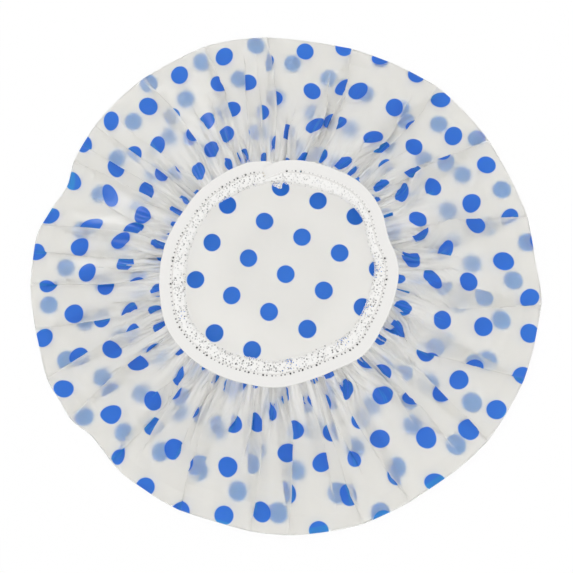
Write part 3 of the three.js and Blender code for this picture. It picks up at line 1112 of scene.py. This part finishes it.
def addBand(route):
    piece = addStrip("elastic_band", band["rows"], band["columns"], route)
    pitch = route["pitch"]
    step = pitch / band["columns"]

    def isOpen(co):
        deepest = route["depths"][holeAt(co.x, pitch)] == 1
        return deepest and abs(co.y) < band["slit"] and holeOffset(co.x, pitch) < step

    cutCells(piece, isOpen)
    thicken(piece, band["thickness"], -1)
    selectVertices(piece, lambda co: co.z < band["topFrom"])
    bpy.ops.transform.resize(value=(1, 1, 0), center_override=(0, 0, 0))
    bpy.ops.object.mode_set(mode="OBJECT")
    roundOff(piece)
    finishTrim(piece, route)
    return piece


lace = {
    # how wide it lies: where it is narrow it stands up or curls
    "widthShares": (
        0.78, 0.62, 0.56, 0.78, 0.92, 0.94, 0.85, 0.9, 0.88, 0.7, 0.7, 0.9,
        0.97, 0.96, 0.88, 0.88, 0.88, 0.97, 0.97, 0.98, 0.96, 0.98, 0.84, 0.9,
    ),
    # across, from the seam inwards, and height of the middle surface, in mm
    "rows": (
        (-1.4, -0.6), (0.45, -0.5), (0.85, 0.35), (1.35, 0.5), (1.9, 0.52), (2.45, 0.5), (3.0, 0.45),
        (3.55, 0.38), (4.1, 0.28), (4.65, 0.17), (5.2, 0.05), (5.75, -0.08), (6.3, -0.22), (6.85, -0.36),
    ),
    "columns": 9,
    "thickness": 0.7 * mm,
    "seed": 4,
    # holes that a pitch may have: share of the pitch, row, and rows high
    "holes": ((0.5, 4, 1), (0.2, 6, 1), (0.7, 7, 1), (0.45, 8, 1), (0.95, 9, 1), (0.25, 10, 1), (0.7, 10, 1)),
    "holeShare": 0.3,  # of them that are open
    "holeShifts": (-1, 0, 0, 1),  # columns by which one is moved, by chance
    "bumpCells": 3,  # from one gap in the edge to the next
    "bumpShifts": (0, 0, 1, 2),
    "scatterFrom": 1 * mm,  # inwards from the seam
    "scatter": 0.11 * mm,
    # in one pitch: share, across and radius in mm
    "picots": ((0.14, 6.95, 0.5), (0.38, 7.15, 0.55), (0.63, 7.0, 0.48), (0.87, 7.1, 0.55)),
    "picotYarn": 0.21 * mm,
    "loopSegments": (10, 4),  # round a loop and round its yarn
    "lapWidth": 0.2,  # share of its width that the lace keeps at the lapped end
    "startWidth": 0.6,  # and at the end below it
    # over a dot at the join: distance before the lapped end, across and radius in mm
    "tipLoops": (
        (5.9, 7.4, 0.45), (5.5, 6.6, 0.5), (6.3, 6.6, 0.5), (5.0, 5.8, 0.55), (6.8, 5.8, 0.55),
        (5.9, 5.8, 0.4), (4.2, 5.2, 0.55), (7.6, 5.3, 0.55),
    ),
    "tipYarn": 0.3 * mm,
}


# The cells that are left open: holes in the net, and gaps between the scallops at its edge
def laceCells(route):
    rng = random.Random(lace["seed"])
    columns = lace["columns"]
    count = seam["pitches"]
    rows = len(lace["rows"]) - 1
    cells = set()
    plain = shareAt(seam["plainShares"], directionAt((np.arange(count) + 0.5) * route["pitch"], route))
    for k in range(count):
        for share, row, high in lace["holes"]:
            if rng.random() < lace["holeShare"] * plain[k] ** 2:
                column = k * columns + int(columns * share) + rng.choice(lace["holeShifts"])
                cells.update((column, row + step) for step in range(high))
    for first in range(0, count * columns, lace["bumpCells"]):
        gap = first + rng.choice(lace["bumpShifts"])
        cells.add((gap, rows - 1))
        if rng.random() < lace["holeShare"]:
            cells.add((gap, rows - 2))
    return cells


# Little rings of yarn at the lace's edge, as one mesh
def addLoops(loops, yarn):
    pieces = []
    height = lace["rows"][-1][1] * mm
    along, aside = lace["loopSegments"]
    for x, across, radius in loops:
        deselectAll()
        bpy.ops.mesh.primitive_torus_add(
            major_segments=along, minor_segments=aside, major_radius=radius * mm, minor_radius=yarn,
            location=(x, across * mm, height))
        pieces.append(bpy.context.object)
    for piece in pieces:
        piece.select_set(True)
    bpy.ops.object.join()
    piece = bpy.context.object
    bpy.ops.object.transform_apply(location=True, rotation=True, scale=True)
    return piece


def addPicots(route):
    loops = [(share * route["pitch"], *rest) for share, *rest in lace["picots"]]
    piece = addLoops(loops, lace["picotYarn"])
    repeatAlongSeam(piece, route)
    return piece


def joinTo(piece, other):
    activate(piece)
    other.select_set(True)
    bpy.ops.object.join()


# The lace lies narrower in some places, and at its two ends
def narrowLace(piece, route):
    places = placesOf(piece)
    edge = band["rows"][-1][0] * mm
    widths = shareAt(lace["widthShares"], directionAt(places[:, 0], route))
    lapped = 1 - smooth((route["length"] - places[:, 0]) / trim["lapLength"])
    started = 1 - smooth(places[:, 0] / trim["lapLength"])
    widths = widths * (1 - (1 - lace["lapWidth"]) * lapped) * (1 - (1 - lace["startWidth"]) * started)
    outside = np.clip(places[:, 1] - edge, 0, None)
    places[:, 1] -= outside * (1 - widths)
    moveTo(piece, places)


def addLace(route):
    piece = addStrip("lace_net", lace["rows"], lace["columns"], route)
    cells = laceCells(route)
    across = [row[0] * mm for row in lace["rows"]]
    step = route["pitch"] / lace["columns"]

    def isGap(co):
        return (int(co.x / step), int(np.searchsorted(across, co.y)) - 1) in cells

    cutCells(piece, isGap)
    selectVertices(piece, lambda co: co.y > lace["scatterFrom"])
    bpy.ops.transform.vertex_random(offset=lace["scatter"], seed=lace["seed"])
    bpy.ops.object.mode_set(mode="OBJECT")
    thicken(piece, lace["thickness"], 0)
    roundOff(piece)
    joinTo(piece, addPicots(route))
    narrowLace(piece, route)
    tip = [(route["length"] - before * mm, *rest) for before, *rest in lace["tipLoops"]]
    joinTo(piece, addLoops(tip, lace["tipYarn"]))
    markPlain(piece, route)
    finishTrim(piece, route)
    return piece


thread = {
    "radius": 0.16 * mm,
    "steps": 20,
    "sides": 5,
    "above": 1.2 * mm,
    "dip": 0.8 * mm,
    "dipLength": 0.32 * mm,
    "underRise": 0.9 * mm,
}


# A yarn along the whole seam, from its places over one pitch
def addYarn(name, places, radius, sides, route):
    deselectAll()
    bpy.ops.mesh.primitive_circle_add(
        vertices=sides, radius=radius, location=places[0], rotation=(0, math.pi / 2, 0))
    piece = bpy.context.object
    piece.name = name
    bpy.ops.object.transform_apply(location=True, rotation=True, scale=True)
    bpy.ops.object.mode_set(mode="EDIT")
    bpy.ops.mesh.select_all(action="SELECT")
    for here, there in zip(places, places[1:]):
        bpy.ops.mesh.extrude_region_move(TRANSFORM_OT_translate={"value": Vector(there) - Vector(here)})
    bpy.ops.object.mode_set(mode="OBJECT")
    repeatAlongSeam(piece, route)
    bpy.ops.object.mode_set(mode="EDIT")
    bpy.ops.mesh.select_all(action="SELECT")
    bpy.ops.mesh.fill_holes(sides=sides)
    bpy.ops.mesh.normals_make_consistent(inside=False)
    bpy.ops.object.mode_set(mode="OBJECT")
    finishTrim(piece, route)
    return piece


# A thread lies level and turns up or down at every needle hole
def addThread(name, level, turn, route):
    places = []
    for step in range(thread["steps"] + 1):
        x = route["pitch"] * step / thread["steps"]
        near = math.exp(-(holeOffset(x, route["pitch"]) / thread["dipLength"]) ** 2)
        places.append((x, 0, level + turn * near))
    return addYarn(name, places, thread["radius"], thread["sides"], route)


def addNeedleThread(route):
    return addThread("needle_stitches", thread["above"], -thread["dip"], route)


def addBobbinThread(route):
    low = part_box("bobbin_thread")[0][2] - trim["height"] + thread["radius"]
    return addThread("under_stitches", low, thread["underRise"], route)


rubber = {
    "count": 3,
    "radius": 0.35 * mm,  # half the diagonal of the square strand
    "sides": 4,
    "steps": 3,
    "high": 0.75 * mm,
    "colour": (0.82, 0.78, 0.69),
    "dark": (0.7, 0.65, 0.55),
    "roughness": 0.55,
    "mottle": 1.5 * mm,
    "mottleDepth": 0.02 * mm,
}


def addStrand(number, route):
    across = -seam["inward"] * number / (rubber["count"] + 1)
    steps = rubber["steps"]
    places = [(route["pitch"] * step / steps, across, rubber["high"]) for step in range(steps + 1)]
    return addYarn(f"rubber_thread_{number}", places, rubber["radius"], rubber["sides"], route)


def rubberMaterial():
    material, tree = newMaterial("natural_rubber")
    spot = addNode(tree, "ShaderNodeTexCoord").output("Object")
    cloudy = {"Vector": spot, "Scale": 1 / rubber["mottle"], "Detail": 3.0}
    mottle = addNode(tree, "ShaderNodeTexNoise", None, cloudy)
    rough = {"Strength": 1.0, "Distance": rubber["mottleDepth"], "Height": mottle}
    bump = addNode(tree, "ShaderNodeBump", None, rough)
    useShader(tree, addNode(tree, "ShaderNodeBsdfPrincipled", None, {
        "Base Color": mixColour(tree, mottle, rubber["dark"], rubber["colour"]),
        "Roughness": rubber["roughness"],
        "Normal": bump,
    }))
    return material


cloth = {
    "bandWhite": (0.85, 0.84, 0.82),
    "laceWhite": (0.95, 0.942, 0.922),
    # near-black painted shade for the needle holes and the gaps in the knit
    "holeShadeColour": (0.02, 0.02, 0.025),
    "roughness": 0.8,
    # size and depth of the grain
    "bandGrain": (0.5 * mm, 0.1 * mm),
    "laceGrain": (0.45 * mm, 0.3 * mm),
    "threadGrain": (0.3 * mm, 0.05 * mm),
    "pitSize": 1.15 * mm,  # from one gap in the knit to the next
    "pitRadiusShare": 0.33,
    "pitEdgeShare": 0.28,
    "pitDarkness": 0.74,
    "pitLeast": 0.35,
    "pitFrom": 0.6 * mm,  # inwards from the seam
}


# Painted shade in each needle hole, from 0 on the cloth to 1 deep in the largest holes
def holeShadeMask(tree, x, y, pitch):
    turns = x / pitch
    local = (turns - turns.math("FLOOR") - 0.5) * pitch
    shadeDepth = attributeOf(tree, "shadeDepth")
    aside = local.math("ABSOLUTE") - seam["holeShift"]
    distance = (aside * aside + y * y).math("SQRT")
    radius = (shadeDepth * seam["holeMoreShare"] + seam["holeLeastShare"]) * seam["holeRadius"]
    return ((radius - distance) / seam["holeEdge"] + 0.5).clamped() * shadeDepth


# Painted shade in the gaps of the lace's knit that are too fine for its mesh
def pitShadeMask(tree, place, y):
    pits = addNode(tree, "ShaderNodeTexVoronoi", None, {"Vector": place, "Scale": 1 / cloth["pitSize"]})
    chance = partsOf(tree, pits.output("Color"))[0]
    pit = ((cloth["pitRadiusShare"] - pits) / cloth["pitEdgeShare"] + 0.5).clamped()
    shadeDepth = (chance * chance + cloth["pitLeast"]) * cloth["pitDarkness"] * attributeOf(tree, "plain")
    within = ((y - cloth["pitFrom"]) / mm + 0.5).clamped()
    return pit * shadeDepth * within


def clothMaterial(name, white, grain, route, pitted):
    material, tree = newMaterial(name)
    length = route["length"]
    flat = flatMap(tree)
    across, along = partsOf(tree, flat)
    y = (along - 0.5) * length
    # dark is painted shade, in the needle holes and in the gaps of the knit
    dark = holeShadeMask(tree, across * length, y, route["pitch"])
    place = addNode(tree, "ShaderNodeVectorMath", {"operation": "SCALE"}, {0: flat, "Scale": length})
    if pitted:
        dark = dark.math("MAXIMUM", pitShadeMask(tree, place, y))
    size, depth = grain
    fibres = addNode(tree, "ShaderNodeTexNoise", None, {"Vector": place, "Scale": 1 / size, "Detail": 2.0})
    bump = addNode(tree, "ShaderNodeBump", None, {"Strength": 1.0, "Distance": depth, "Height": fibres})
    useShader(tree, addNode(tree, "ShaderNodeBsdfPrincipled", None, {
        "Base Color": mixColour(tree, dark, white, cloth["holeShadeColour"]),
        "Roughness": cloth["roughness"],
        "Normal": bump,
    }))
    return material


def addTrim():
    route = addSeam()
    knit = clothMaterial("white_knit", cloth["bandWhite"], cloth["bandGrain"], route, False)
    net = clothMaterial("white_net", cloth["laceWhite"], cloth["laceGrain"], route, True)
    cotton = clothMaterial("white_thread", cloth["laceWhite"], cloth["threadGrain"], route, False)
    latex = rubberMaterial()
    made = [
        (addBand(route), "elastic_tape", "elastic", knit),
        (addLace(route), "lace_edging", "lace", net),
        (addNeedleThread(route), "needle_thread", "thread", cotton),
        (addBobbinThread(route), "bobbin_thread", "thread", cotton),
    ]
    for number in range(1, rubber["count"] + 1):
        made.append((addStrand(number, route), f"rubber_strand_{number}", "rubber", latex))
    for piece, node, slot, material in made:
        piece.data.materials.append(material)
        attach(piece, "root")
        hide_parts(node)
        print(piece.name, len(piece.data.polygons), "faces")
    bpy.data.objects.remove(route["path"])


addCamera()
addLamp("key_lamp", light["keyPlace"], light["keySize"], light["keyPower"])
addLamp("fill_lamp", light["fillPlace"], light["fillSize"], light["fillPower"])
addWorld()
addFloor()
addFilm()
addTrim()

scene = bpy.context.scene
scene.view_settings.view_transform = "Standard"
scene.cycles.max_bounces = light["filmBounces"]
scene.cycles.transmission_bounces = light["filmBounces"]
scene.cycles.diffuse_bounces = light["softBounces"]
scene.cycles.glossy_bounces = light["softBounces"]
